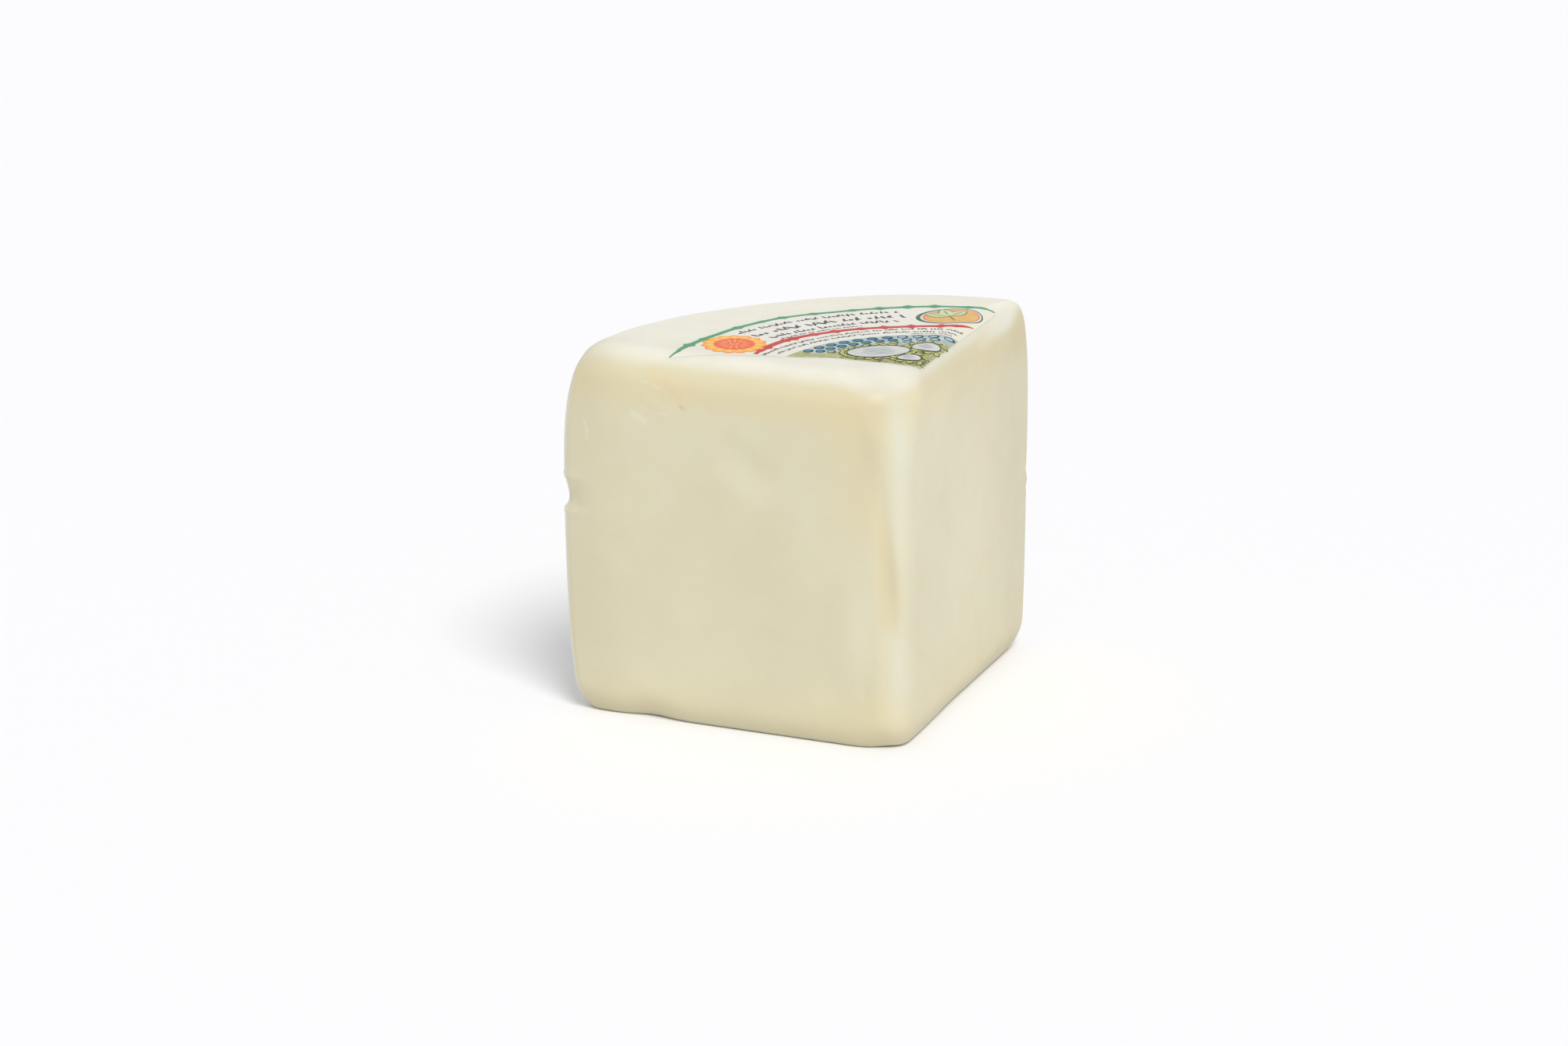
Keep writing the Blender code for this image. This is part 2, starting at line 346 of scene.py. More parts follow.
def cheeseGrid():
    # Levels from the underside up: a quarter of an ellipse at the foot, the side, a quarter of an ellipse at
    # the top, and then the top's own outline shrunk towards the middle of the top
    foot, side, top, inner = cheese["upwards"]
    footHeight, footCut, footHeel = cheese["footEdge"]
    topHeight, topCut = cheese["topEdge"]
    heelHeight, heelReach = cheese["heelEdge"]
    height = cheese["height"]
    turn = 0.5 * math.pi * np.arange(foot) / foot
    footShare = 1 - np.sin(turn)
    footZ = footHeight * (1 - np.cos(turn))
    up = np.arange(side) / side
    sideZ = footHeight + (height - topHeight - footHeight) * up
    turn = 0.5 * math.pi * np.arange(top + 1) / top
    below = topHeight * (1 - np.sin(turn))
    heelDraw = heelReach * ellipseFall(below / heelHeight)
    z = np.concatenate([footZ, sideZ, height - below])[:, None]
    insetCut = np.concatenate([footCut * footShare, 0 * up, topCut * (1 - np.cos(turn))])[:, None]
    insetHeel = np.concatenate([footHeel * footShare, 0 * up, heelDraw])[:, None]
    x, y = quarterOutline(insetCut, insetHeel, heelRadius(z), cornerRadius(z))
    inFoot = 1 - smoothStep(0, footHeight, z)
    most, start, end = marks["footDraw"]
    x = x - most * inFoot * smoothStep(start, end, y) * fadeBehind(-x - insetCut)
    for middle, wide, deep in marks["footSteps"]:
        y = y + deep * inFoot * bell(x, middle, wide) * fadeBehind(y - insetCut)
    inTopEdge = z > height - topHeight
    x = x + inTopEdge * insetCut * tightness(y) * fadeBehind(-x - insetCut)
    middleX, middleY = cheese["middle"]
    shrink = (1 - np.arange(1, inner) / inner)[:, None]
    x = np.concatenate([x, middleX + shrink * (x[-1] - middleX)])
    y = np.concatenate([y, middleY + shrink * (y[-1] - middleY)])
    z = np.concatenate([z * np.ones_like(x[-1]), height * np.ones((inner - 1, x.shape[1]))])
    z = z * dishShare(x, y) - rimSag(x, y) * smoothStep(0.8, 1.0, z / height)
    return np.stack([x, y, z], axis=-1)


def outwardNormals(grid):
    # Cross product of the step from level to level and the step round the outline, which closes on itself
    around = np.roll(grid, -1, axis=1) - np.roll(grid, 1, axis=1)
    upwards = np.gradient(grid, axis=0)
    normal = np.cross(upwards, around)
    return normal / np.maximum(np.linalg.norm(normal, axis=-1, keepdims=True), 1e-9)


marks = {
    "trough": ((22, -3.2), (34, -3.4), (44, -3.9), (54, -4.9), (64, -5.9), (76, -7.2)),  # z, x of its middle
    "troughWide": (2.8, 1.7),  # half width away from the front corner and towards it
    "troughReach": (20, 36, 56, 76),  # z where it starts, is full, begins to fade and ends
    "troughDeep": 0.60,
    "crest": (-1.7, 2.9, 2.0, 0.40),  # x, y, half width, how proud
    "ridge": (-12.0, 31.0, 3.6, 12.0, 0.08),  # x, z, half width, half height, how proud
    "crease": (-9.7, 15.5, 0.5, 2.2, 0.35),  # x, z, half width, half height, depth
    "creaseLean": 0.12,
    "nick": (55.0, 5.3, 3.1, 1.7),  # z where it is deepest, how far it reaches up and down, depth
    "nickPlace": ((-88.0, 1.8), 3.6),  # x and y, half width
    "nickLips": (60.5, 51.9, 0.8, 0.25),  # z of the upper and the lower one, half height, how proud
    # ends of slight folds in the left cut face, in x and z, and depth
    "folds": (
        ((-68, 88), (-56.5, 77.5), 0.10),
        ((-44.5, 76), (-35.5, 56), 0.08),
        ((-62, 90), (-59, 80), 0.06),
    ),
    "foldShape": (0.7, 0.5, 9.0),  # half width, how far it wavers, radians of wave along it
    "rimSag": (137.0, 20.0, 0.55),  # plan angle in degrees, half width, how much lower the rim is
    "footDraw": (0.65, 18.0, 40.0),  # how much further the right cut face draws in at its foot, from, to
    # x, half width and depth of steps in the left cut face's foot
    "footSteps": ((-86.5, 4.0, 1.2), (-67.0, 5.5, 1.4), (-6.0, 4.0, 1.6)),
    "graze": ((-3.0, 88.0), 5.0),  # a rough place in the right edge: x and y, half width
    "grazeTall": (47.0, 6.0, 0.20),  # its z, half height and depth
    "grazeGrain": 2.4,
}


def rimSag(x, y):
    # How much lower the top is along the back of its rim: a bell of the plan angle, from nothing 55 mm out
    angle, wide, deep = marks["rimSag"]
    around = np.degrees(np.arctan2(y, x))
    return deep * bell(around, angle, wide) * smoothStep(55, 82, np.hypot(x, y))


def faceRelief(points, normal):
    # How far outwards, in millimetres, each place moves for all that is uneven on the cheese
    x, z = points[..., 0], points[..., 2]
    onLeft = facing(-normal[..., 1])
    side = 1 - smoothStep(0.5, 0.95, normal[..., 2])
    high, long = cheese["swell"]
    depth = -high * np.maximum(1 + 0.6 * unevenness(points, long, cheese["seed"]), 0.1) * side
    depth += ripple(points)

    troughZ, troughX = np.array(marks["trough"]).T
    away = x - np.interp(z, troughZ, troughX)
    outerWide, innerWide = marks["troughWide"]
    trough = np.where(away < 0, bell(away, 0, outerWide), bell(away, 0, innerWide))
    reach = stretch(marks["troughReach"], z)
    depth -= marks["troughDeep"] * reach * trough * onLeft
    crestX, crestY, wide, proud = marks["crest"]
    depth += proud * reach * nearness(points, (crestX, crestY), wide)
    middleZ, tall, deep = marks["grazeTall"]
    rough = nearness(points, *marks["graze"]) * bell(z, middleZ, tall)
    depth -= rough * deep * (1.4 + unevenness(points, marks["grazeGrain"], cheese["seed"] + 4))

    middleX, middleZ, wide, tall, proud = marks["ridge"]
    depth += proud * bell(x, middleX, wide) * bell(z, middleZ, tall) * onLeft
    middleX, middleZ, wide, tall, deep = marks["crease"]
    leaning = middleX + marks["creaseLean"] * (z - middleZ)
    depth -= deep * bell(x, leaning, wide) * bell(z, middleZ, tall) * onLeft

    wide, waver, wave = marks["foldShape"]
    for (startX, startZ), (endX, endZ), deep in marks["folds"]:
        lengthX, lengthZ = endX - startX, endZ - startZ
        length = math.hypot(lengthX, lengthZ)
        t = ((x - startX) * lengthX + (z - startZ) * lengthZ) / length**2
        off = ((x - startX) * lengthZ - (z - startZ) * lengthX) / length
        depth -= deep * bell(off + waver * np.sin(wave * t), 0, wide) * bell(t, 0.5, 0.45) * onLeft

    nickZ, up, down, deep = marks["nick"]
    corner = nearness(points, *marks["nickPlace"])
    above = np.clip((z - nickZ) / up, 0, 1)
    below = np.clip((nickZ - z) / down, 0, 1)
    depth -= deep * corner * (1 - above**1.3 - below**3)
    highLip, lowLip, lipTall, lipProud = marks["nickLips"]
    depth += lipProud * corner * (bell(z, highLip, lipTall) + bell(z, lowLip, lipTall) - 0.5)
    return depth


tones = {
    # the rind begins where the normal's z turns from the first share to the second, and sooner along the
    # right face's far shoulder: its own turn, from and to y, from and to z
    "topTurn": (0.54, 0.97),
    "shoulder": ((0.15, 0.55), (48, 74), (80, 86)),
    "heelStart": (0.972, 0.992),  # share of the heel's radius
    "farCorner": ((-84, 3, 90), 8),  # place and half width
    "farCornerPaintedShade": 0.55,  # share of the rind tone taken away there, a painted shade
    "crestPaleAndHighlightPlace": ((-1.9, 2.6), 3.1),
    # z and how pale the crest is: partly the cheese's paler edge, partly a painted highlight
    "crest": (
        (0, 0.20),
        (8, 0.25),
        (16, 0.55),
        (24, 0.65),
        (33, 0.30),
        (42, 0.25),
        (50, 0.45),
        (60, 0.60),
        (78, 0.85),
    ),
    # z and x of the right edge of the warm streak in the trough, which also carries painted shade
    "streak": ((28, -1.6), (37, -1.0), (45, -1.8), (56, -3.6), (66, -5.2)),
    "streakSoft": 0.5,
    "streakLeft": (-8.2, -5.6),  # from and to x
    "streakReach": (28, 35, 50, 68),
    "troughShadeStreak": (2.0, 1.5, 43.0, 8.0),  # painted shade in the trough: how far left of that edge, half width, z, half height
    "flatTurn": (0.55, 0.85),
    # tone, share, area, and the falls it is multiplied by: bells with a middle and a half width, smooth
    # steps with a from and a to, and the nearness to a place with a half width
    "terms": (
        ("warm", 0.75, "faces", (("bell", "z", 85, 5),)),
        ("warm", -0.6375, "faces", (("bell", "z", 85, 5), ("near", (-3.5, 3.5), 8))),
        ("warm", 0.35, "faces", (("bell", "z", 4, 8),)),
        ("warm", 0.80, "streak", ()),
        ("warm", 0.25, "left", (("bell", "z", 7, 7), ("step", "x", -34, -12))),
        ("warm", 0.40, "left", (("bell", "x", -13, 9), ("bell", "z", 78, 9))),
        ("warm", 0.30, "left", (("bell", "x", -10.5, 5), ("bell", "z", 61, 8))),
        ("warm", 0.35, "left", (("bell", "x", -7.8, 3.6), ("bell", "z", 12, 5))),
        ("warm", 0.40, "left", (("bell", "x", -5.3, 1.2), ("bell", "z", 20, 7))),
        ("warm", 0.30, "left", (("step", "z", 34, 62), ("step", "x", -26, -8))),
        ("warm", 0.12, "right", (("step", "y", 30, 60),)),
        # light: a painted light patch, where the left face's slight bulge catches more light
        ("light", 0.75, "left", (("bell", "x", -11, 4), ("bell", "z", 31, 12))),
        # shade: painted shade, multiplied in at the foot, towards the ends of the cut faces, in the trough,
        # about the apex and the far corner, and on strips of the top
        ("shade", 0.62, "sides", (("step", "z", 7, 0),)),
        ("shade", 0.14, "sides", (("step", "z", 16, 3),)),
        ("shade", 0.50, "right", (("step", "y", 46, 84),)),
        ("shade", 0.25, "right", (("bell", "z", 84, 5), ("step", "y", 20, 40))),
        ("shade", 0.38, "all", (("step", "z", 84, 88), ("step", "x", -9, -4), ("step", "y", 10, 18))),
        ("shade", -0.24, "all", (("step", "z", 84, 88), ("step", "x", -9, -4), ("step", "y", 40, 68))),
        ("shade", 0.20, "streak", ()),
        ("shade", 0.30, "troughShadeStreak", ()),
        ("shade", 0.22, "left", (("step", "x", -70, -86),)),
        ("shade", 0.26, "left", (("bell", "x", -8, 3.5), ("bell", "z", 77, 7))),
        ("shade", 0.35, "farCorner", ()),
        ("shade", 0.45, "all", (("near", (-8.5, 3.5, 88), 5),)),
        ("shade", 0.12, "all", (("step", "z", 84, 90), ("near", (-6, 6), 10))),
        ("shade", 0.10, "top", (("step", "y", 20, 12),)),
        ("shade", 0.14, "top", (("step", "y", 66, 84),)),
    ),
}


def toneAreas(points, normal):
    # Where each term may lie, 0 to 1; "faces" counts the edge where the cut faces meet twice, "sides" once
    x, z = points[:, 0], points[:, 2]
    left, right = facing(-normal[:, 1]), facing(normal[:, 0])
    streakZ, streakX = np.array(tones["streak"]).T
    edge = np.interp(z, streakZ, streakX)
    soft = tones["streakSoft"]
    streak = smoothStep(*tones["streakLeft"], x) * (1 - smoothStep(edge - soft, edge + soft, x))
    shift, wide, middle, tall = tones["troughShadeStreak"]
    return {
        "all": np.ones(len(points)),
        "left": left,
        "right": right,
        "faces": left + right,
        "sides": np.clip(left + right, 0, 1),
        "top": smoothStep(*tones["flatTurn"], normal[:, 2]),
        "farCorner": nearness(points, *tones["farCorner"]),
        "streak": streak * stretch(tones["streakReach"], z) * left,
        "troughShadeStreak": bell(x, edge - shift, wide) * bell(z, middle, tall) * left,
    }


def rindShare(points, normal, farCorner):
    # The top and the heel carry the rind; at the far corner part of its tone is taken away, a painted shade
    x, y, z = points.T
    turn, alongY, alongZ = tones["shoulder"]
    shoulder = smoothStep(*turn, normal[:, 2]) * smoothStep(*alongY, y) * smoothStep(*alongZ, z)
    onTop = np.maximum(smoothStep(*tones["topTurn"], normal[:, 2]), shoulder)
    outside = np.hypot(x, y) / heelRadius(np.minimum(z, cheese["height"]))
    onHeel = smoothStep(*tones["heelStart"], outside) * (1 - onTop)
    return (onTop + onHeel) * (1 - tones["farCornerPaintedShade"] * farCorner)


def cheeseTones(points, normal):
    # Share of each tone, 0 to 1: each term adds its share times its area times its falls
    along = dict(zip("xyz", points.T))
    areas = toneAreas(points, normal)
    fields = {"rind": rindShare(points, normal, areas["farCorner"]), "left": areas["left"]}
    crestZ, crestPale = np.array(tones["crest"]).T
    fields["pale"] = nearness(points, *tones["crestPaleAndHighlightPlace"]) * np.interp(along["z"], crestZ, crestPale)
    for tone, share, area, falls in tones["terms"]:
        term = share * areas[area]
        for kind, where, *numbers in falls:
            if kind == "near":
                term = term * nearness(points, where, *numbers)
            elif kind == "bell":
                term = term * bell(along[where], *numbers)
            else:
                term = term * smoothStep(*numbers, along[where])
        fields[tone] = fields.get(tone, 0) + term
    return {name: np.clip(values, 0, 1) for name, values in fields.items()}


def makeCheese():
    # The levels, moved out along their normals by the relief, and a fan of triangles that closes the top and
    # one that closes the underside, which stays flat
    grid = cheeseGrid()
    normal = outwardNormals(grid)
    outwards = faceRelief(grid, normal) * smoothStep(0.0, 2.5, grid[..., 2])
    grid = grid + normal * outwards[..., None]
    levels, columns = grid.shape[:2]
    middle = cheese["middle"]
    topMiddle = (*middle, cheese["height"] * dishShare(*middle))
    points = np.concatenate([grid.reshape(-1, 3), [topMiddle, (*middle, 0.0)]])
    normals = np.concatenate([normal.reshape(-1, 3), [(0, 0, 1), (0, 0, -1)]])
    quads = gridFaces(levels, columns, wrap=True)[:, ::-1]
    column = np.arange(columns)
    after = (column + 1) % columns
    last = (levels - 1) * columns
    top = np.stack([last + after, last + column, np.full(columns, len(points) - 2)], axis=1)
    foot = np.stack([column, after, np.full(columns, len(points) - 1)], axis=1)
    triangles = np.concatenate([top, foot])
    return makeMesh("cheese_quarter", points, quads, triangles, cheeseTones(points, normals))


cheeseFinish = {
    "paste": (0.724, 0.686, 0.500),
    "pasteShade": (0.692, 0.646, 0.460),
    "warm": (0.752, 0.664, 0.421),
    # the crest's tone: partly its paler edge, partly a painted highlight
    "pale": (0.731, 0.724, 0.590),
    # painted light: the tone of the light patch on the left cut face
    "light": (0.772, 0.728, 0.545),
    "shade": (0.803, 0.797, 0.778),  # painted shade: what the tone under it is multiplied by
    # strokes on the left cut face: x and z of both ends, half width in millimetres, tone and its share
    "strokes": (
        (-63.5, 88.0, -57.0, 84.0, 4.5, (0.780, 0.660, 0.400), 0.45),
        (-68.2, 82.2, -62.2, 78.7, 1.8, (0.690, 0.630, 0.430), 0.30),
        (-61.4, 86.8, -56.3, 81.1, 2.0, (0.720, 0.620, 0.380), 0.35),
        (-53.5, 84.3, -48.5, 81.0, 2.8, (0.720, 0.640, 0.400), 0.30),
        (-44.3, 75.0, -33.4, 68.2, 4.2, (0.640, 0.600, 0.400), 0.22),
        (-45.8, 67.9, -37.5, 61.8, 6.0, (0.780, 0.745, 0.570), 0.40),
        (-69.9, 78.2, -67.1, 76.7, 1.6, (0.820, 0.790, 0.620), 0.40),
        (-67.6, 86.6, -66.2, 86.4, 0.40, (0.900, 0.870, 0.720), 0.30),
        (-64.8, 86.1, -63.2, 85.3, 0.40, (0.900, 0.870, 0.720), 0.30),
        (-63.2, 79.1, -61.2, 78.8, 0.40, (0.880, 0.840, 0.680), 0.30),
        (-83.2, 75.4, -82.4, 73.0, 0.50, (0.860, 0.830, 0.680), 0.25),
        (-82.4, 73.0, -82.5, 70.8, 0.50, (0.860, 0.830, 0.680), 0.25),
        (-57.4, 81.3, -57.0, 80.9, 0.80, (0.560, 0.500, 0.330), 0.45),
    ),
    "rind": (0.857, 0.837, 0.730),
    "rindShade": (0.826, 0.799, 0.681),
    "cloudScale": 34,  # of the paste's two tones
    "spotScale": 140,  # of the rind's
    "pits": (260, 0.25, 0.0004),  # scale, strength and depth in metres
    "grain": (1400, 0.12, 0.00015),
    "roughness": (0.41, 0.54),
    "gloss": 0.42,
    "glow": 0.35,  # share of light that passes under the surface
    "glowReach": 0.004,  # in metres
    "glowColour": (1.0, 0.72, 0.42),
}


def attribute(tree, name):
    return addNode(tree, "ShaderNodeAttribute", attribute_name=name).outputs["Fac"]


def addStrokes(tree, place, colour):
    # Soft strokes on the left cut face: the share of each falls off by a smooth step of the distance to the
    # line between its ends, which is the place's offset from the first end less its part along the line
    flat = addNode(tree, "ShaderNodeVectorMath", operation="MULTIPLY")
    flat.inputs[1].default_value = (1, 0, 1)
    tree.links.new(place, flat.inputs[0])
    left = attribute(tree, "left")
    for startX, startZ, endX, endZ, half, tone, share in cheeseFinish["strokes"]:
        length = 0.001 * Vector((endX - startX, 0, endZ - startZ))
        offset = addNode(tree, "ShaderNodeVectorMath", operation="SUBTRACT")
        offset.inputs[1].default_value = (axisPlace[0] + 0.001 * startX, 0, 0.001 * startZ)
        tree.links.new(flat.outputs[0], offset.inputs[0])
        along = addNode(tree, "ShaderNodeVectorMath", operation="DOT_PRODUCT")
        along.inputs[1].default_value = length / length.length_squared
        tree.links.new(offset.outputs[0], along.inputs[0])
        nearest = addNode(tree, "ShaderNodeVectorMath", operation="SCALE")
        nearest.inputs[0].default_value = length
        tree.links.new(mapTo(tree, along.outputs["Value"], 0, 1, 0, 1), nearest.inputs["Scale"])
        away = addNode(tree, "ShaderNodeVectorMath", operation="DISTANCE")
        tree.links.new(offset.outputs[0], away.inputs[0])
        tree.links.new(nearest.outputs[0], away.inputs[1])
        fall = mapTo(tree, away.outputs["Value"], 0, 0.001 * half, share, 0)
        fall.node.interpolation_type = "SMOOTHSTEP"
        onFace = addNode(tree, "ShaderNodeMath", operation="MULTIPLY")
        tree.links.new(fall, onFace.inputs[0])
        tree.links.new(left, onFace.inputs[1])
        colour = mixColour(tree, onFace.outputs[0], colour, tone)
    return colour


def cheeseMaterial():
    # Two tones of paste, the tones laid over it by their shares, then the rind, the painted shade and the
    # strokes
    settings = cheeseFinish
    material, tree, shader, place = newMaterial("fresh cheese")
    clouds = noise(tree, place, settings["cloudScale"], 4)
    spots = noise(tree, place, settings["spotScale"], 3)
    share = mapTo(tree, clouds, 0.35, 0.65, 0, 1)
    paste = mixColour(tree, share, settings["paste"], settings["pasteShade"])
    # warm is a tone of the cheese; light is a painted light patch; pale is partly the crest's paler edge and
    # partly a painted highlight
    for tone in ("warm", "light", "pale"):
        paste = mixColour(tree, attribute(tree, tone), paste, settings[tone])
    share = mapTo(tree, spots, 0.35, 0.7, 0, 1)
    rind = mixColour(tree, share, settings["rind"], settings["rindShade"])
    colour = mixColour(tree, attribute(tree, "rind"), paste, rind)
    # painted shade: the colour is multiplied down by the shade share
    colour = mixColour(tree, attribute(tree, "shade"), colour, settings["shade"], "MULTIPLY")
    tree.links.new(addStrokes(tree, place, colour), shader.inputs["Base Color"])
    tree.links.new(mapTo(tree, spots, 0.3, 0.7, *settings["roughness"]), shader.inputs["Roughness"])
    scale, strength, depth = settings["pits"]
    pits = bump(tree, noise(tree, place, scale, 4), strength, depth)
    scale, strength, depth = settings["grain"]
    grain = bump(tree, noise(tree, place, scale, 2), strength, depth, pits)
    tree.links.new(grain, shader.inputs["Normal"])
    setInputs(shader, Subsurface_Weight=settings["glow"], Subsurface_Scale=settings["glowReach"])
    shader.inputs["Subsurface Radius"].default_value = settings["glowColour"]
    shader.inputs["Specular IOR Level"].default_value = settings["gloss"]
    return material


cheesePiece = makeCheese()
cheesePiece.data.materials.append(cheeseMaterial())
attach(cheesePiece, "root")
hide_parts("cheese")
print("cheese made:", len(cheesePiece.data.polygons), "faces")


# The label: sheets cut in plan and laid over the top

label = {
    "centre": (2.6, 7.5),  # of the round print
    "paperRadius": 64.6,
    "corner": (-3.4, 19.0),  # front end of the right edge, which runs along the right cut face
    "bends": ((-7.5, 16.4), (-24.0, 15.6)),  # where the front edge turns
    "tip": (-62.0, 3.8),  # where the front edge ends
    "paperLift": 0.09,  # of its upper side above the cheese, in millimetres
    "paperThickness": 0.07,
    "inkStep": 0.022,  # from one layer of ink to the next
    "overlap": 0.004,  # from one leaf or petal to the next in the same ink
    "paper": ((0.822, 0.812, 0.742), (0.795, 0.780, 0.705)),
    # where the paper is soaked to the cheese's tone: from and to x or y, share, tone
    "soakedSide": (-10.4, -3.4, 0.9, (0.775, 0.742, 0.600)),
    "soakedFront": (20.0, 10.0, 0.55, (0.800, 0.765, 0.630)),
    "gloss": 0.35,  # of the paper and the inks
}


def insetAt(x, y, corner):
    # Inset of the outline that runs through a place in plan: the distance to the nearer cut face, or within
    # the front corner the shift of its arc
    right, left = -x / (1 - tightness(y)), y
    apart = right - left
    inArc = right - corner + 0.5 * (np.sqrt(np.maximum(2 * corner**2 - apart**2, 0)) - apart)
    return np.where(np.abs(apart) > corner, np.minimum(right, left), inArc)


def topOfCheese(x, y):
    # The dished top with its rounded edge; the corner's radius depends on the height in turn, so the two are
    # found by going back and forth
    drop, reach = cheese["topEdge"]
    height = cheese["height"] + 0 * x
    for _ in range(8):
        height = cheese["height"] - drop * ellipseFall(insetAt(x, y, cornerRadius(height)) / reach)
    z = height * dishShare(x, y) - rimSag(x, y)
    return z + ripple(np.stack([x, y, z], axis=-1))


def layOnTop(name, grids, lift, thickness):
    # Each grid of plan points becomes a thin closed sheet: its upper side at the lift above the cheese, its
    # lower side a thickness below, and walls between them. The first sheet lies lowest and the others step up
    # by a hair and back, three deep, so that two that overlap don't share a plane.
    # grids: list of arrays (sheets, rows, columns, 2)
    allPoints, allQuads, start, laid = [], [], 0, 0
    for sheets in grids:
        count, rows, columns = sheets.shape[:3]
        x, y = sheets[..., 0], sheets[..., 1]
        number = laid + np.arange(count)
        step = np.minimum(number, 1 + (number - 1) % 3)
        z = topOfCheese(x, y) + label["overlap"] * step[:, None, None]
        laid += count
        upper = np.stack([x, y, z + lift], axis=-1)
        lower = np.stack([x, y, z + lift - thickness], axis=-1)
        size = rows * columns
        face = gridFaces(rows, columns)
        index = np.arange(size).reshape(rows, columns)
        rim = np.concatenate([index[0, :-1], index[:-1, -1], index[-1, :0:-1], index[:0:-1, 0]])
        nextRim = np.roll(rim, -1)
        walls = np.stack([rim, nextRim, nextRim + size, rim + size], axis=1)
        one = np.concatenate([face[:, ::-1], face + size, walls])
        points = np.stack([upper, lower], axis=1).reshape(count, 2 * size, 3)
        quads = one[None] + (2 * size * np.arange(count))[:, None, None] + start
        start += count * 2 * size
        allPoints.append(points.reshape(-1, 3))
        allQuads.append(quads.reshape(-1, 4))
    sheet = makeMesh(name, np.concatenate(allPoints), np.concatenate(allQuads))
    sheet.data.set_sharp_from_angle(angle=math.radians(40))
    return sheet


def rayToLine(angle, start, end):
    # Distance from the round print's centre to the line through two places, along a ray at an angle
    centreX, centreY = label["centre"]
    lengthX, lengthY = end[0] - start[0], end[1] - start[1]
    cross = np.cos(angle) * lengthY - np.sin(angle) * lengthX
    return ((start[0] - centreX) * lengthY - (start[1] - centreY) * lengthX) / cross


def labelEdge(angle):
    # The same distance to the label's inner edge, which is its right edge or one of the strokes of its front
    # edge, whichever the ray's angle meets
    centreX, centreY = label["centre"]
    turns = (label["corner"], *label["bends"], label["tip"])
    edge = rayToLine(angle, turns[0], (turns[0][0], turns[0][1] + 1))
    for start, end in zip(turns, turns[1:]):
        startAngle = math.atan2(start[1] - centreY, start[0] - centreX)
        edge = np.where(angle > startAngle, rayToLine(angle, start, end), edge)
    return edge


def polar(r, angle):
    # Plan points by their distance from the round print's centre and their angle
    centreX, centreY = label["centre"]
    return np.stack([centreX + r * np.cos(angle), centreY + r * np.sin(angle)], axis=-1)


def fieldTo(radius, steps):
    # The part of the label inside a radius: t from its inner edge out to the radius, along each ray, as far
    # round as the ray still crosses a quarter of a millimetre of paper
    startAngle = math.acos((label["corner"][0] - label["centre"][0]) / radius) + 0.004
    angles = np.linspace(startAngle, math.pi + 0.12, 4000)
    endAngle = angles[labelEdge(angles) < radius - 0.25].max()
    angle = np.linspace(startAngle, endAngle, steps[1])
    low = labelEdge(angle)
    t = np.linspace(0, 1, steps[0])[:, None]
    r = low[None] + (radius - low[None]) * t
    return polar(r, angle[None] + 0 * r)[None]


def arcBand(radius, halfWidth, start, end, steps, across=4):
    # A band along an arc: radius and half width are functions of the angle, in radians
    angle = np.linspace(math.radians(start), math.radians(end), steps)[None]
    s = np.linspace(-1, 1, across)[:, None]
    return polar(radius(angle) + s * halfWidth(angle), angle + 0 * s)[None]


def leaves(centres, headings, lengths, widths, power=1.0, steps=(6, 3)):
    # Leaves, petals and dots: t runs along each one and s across; the width is the sine of half a turn of t,
    # to a power, and blunt at both ends
    # headings in radians; headings, lengths and widths: one for all, or one for each centre
    centres = np.asarray(centres)
    given = (headings, lengths, widths)
    heading, length, width = (np.broadcast_to(v, len(centres))[:, None, None] for v in given)
    t = np.linspace(0, 1, steps[0])[None, :, None]
    s = np.linspace(-1, 1, steps[1])[None, None, :]
    along = (t - 0.5) * length
    aside = 0.5 * width * np.maximum(np.sin(math.pi * t) ** power, 0.10) * s
    x = centres[:, 0, None, None] + along * np.cos(heading) - aside * np.sin(heading)
    y = centres[:, 1, None, None] + along * np.sin(heading) + aside * np.cos(heading)
    return np.stack([x, y], axis=-1)


def leavesOut(centre, headings, out, length, width, power=1.0, steps=(6, 3)):
    # Leaves that point away from a centre, with their middles a distance out along their headings
    ray = np.stack([np.cos(headings), np.sin(headings)], axis=1)
    return leaves(np.array(centre) + ray * out, headings, length, width, power, steps)


def disc(centre, halfLong, halfWide, heading=0.0, steps=15):
    # An ellipse as a square grid drawn in to a round one: each of its two shares, from -1 to 1, times the
    # root of one less half the other's square
    u = np.linspace(-1, 1, steps)[:, None]
    v = np.linspace(-1, 1, steps)[None]
    along = halfLong * u * np.sqrt(1 - 0.5 * v * v)
    aside = halfWide * v * np.sqrt(1 - 0.5 * u * u)
    x = centre[0] + along * math.cos(heading) - aside * math.sin(heading)
    y = centre[1] + along * math.sin(heading) + aside * math.cos(heading)
    return np.stack([x, y], axis=-1)[None]


def inkMaterial(name, inkTones, patch=420.0, amount=0.5):
    # Printed ink: two tones mixed in small clouds, a fine grain and an uneven gloss
    material, tree, shader, place = newMaterial(name)
    clouds = noise(tree, place, patch, 3)
    grain = noise(tree, place, 2600, 2)
    tone = mixColour(tree, mapTo(tree, clouds, 0.35, 0.65, 0, amount), *inkTones)
    tree.links.new(tone, shader.inputs["Base Color"])
    tree.links.new(mapTo(tree, grain, 0.3, 0.7, 0.49, 0.63), shader.inputs["Roughness"])
    tree.links.new(bump(tree, grain, 0.15, 0.0001), shader.inputs["Normal"])
    shader.inputs["Specular IOR Level"].default_value = label["gloss"]
    return material


labelPieces = []


def labelPiece(name, grids, layer, material):
    lift = label["paperLift"] + label["inkStep"] * layer
    thickness = label["paperThickness"] if layer == 0 else label["inkStep"] * 0.9
    piece = layOnTop(name, grids, lift, thickness)
    piece.data.materials.append(material)
    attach(piece, "root")
    labelPieces.append(piece)
    return piece


